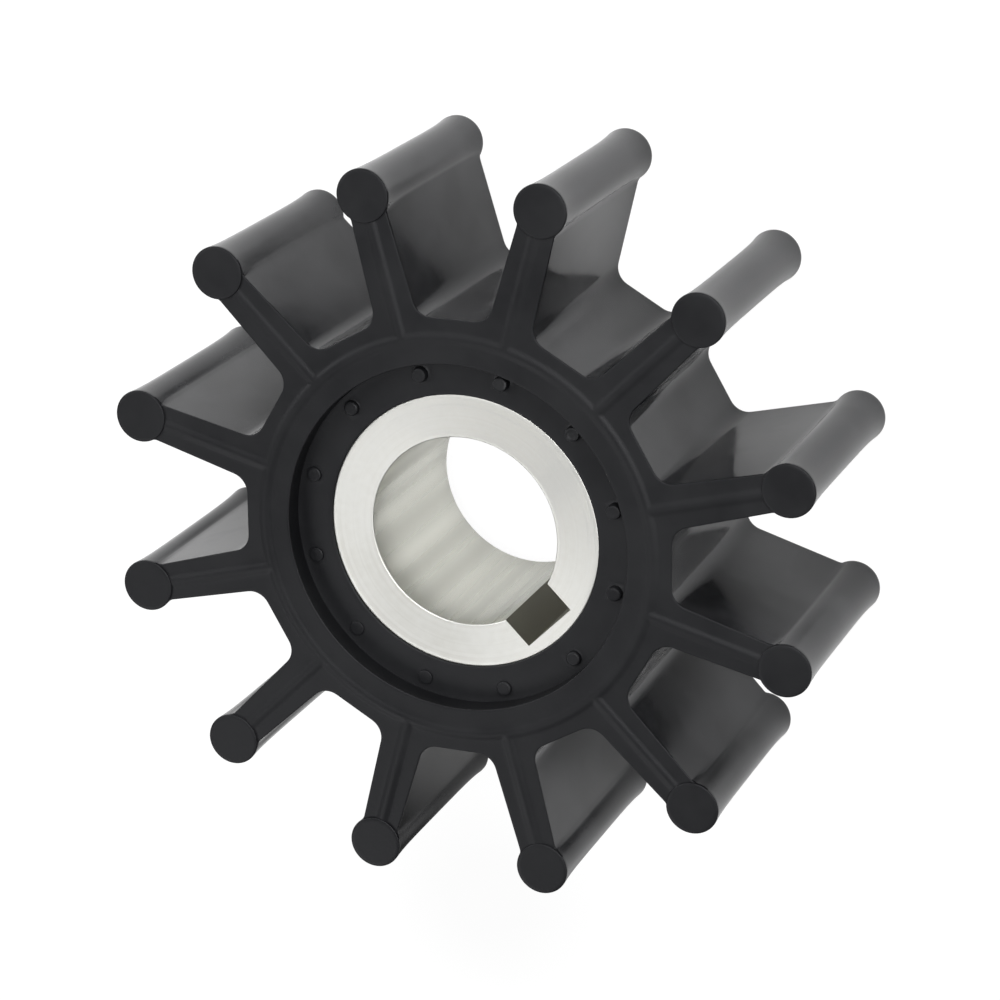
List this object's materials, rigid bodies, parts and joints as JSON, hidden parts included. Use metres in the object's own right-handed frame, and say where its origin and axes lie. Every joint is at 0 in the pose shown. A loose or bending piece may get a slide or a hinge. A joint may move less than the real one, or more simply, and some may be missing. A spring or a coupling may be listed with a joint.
{
  "type": "pump impeller",
  "caption": "Flexible rubber pump impeller: straight vanes with round bulb tips, moulded round a metal bush with a keyed bore.",
  "frame": {"origin": "on the axis of the bore, at the middle of the wheel's width", "axes": "+Z along the axis towards the end with the moulding pips, -X through the middle of the keyway, in line with a vane"},
  "size_m": [0.0966, 0.0966, 0.032],
  "materials": {
    "rubber": "satin black moulded",
    "bush_metal": "fine turned"
  },
  "bodies": {
    "root": {"rubber_wheel": "rubber", "drive_bush": "bush_metal"}
  },
  "joints": []
}
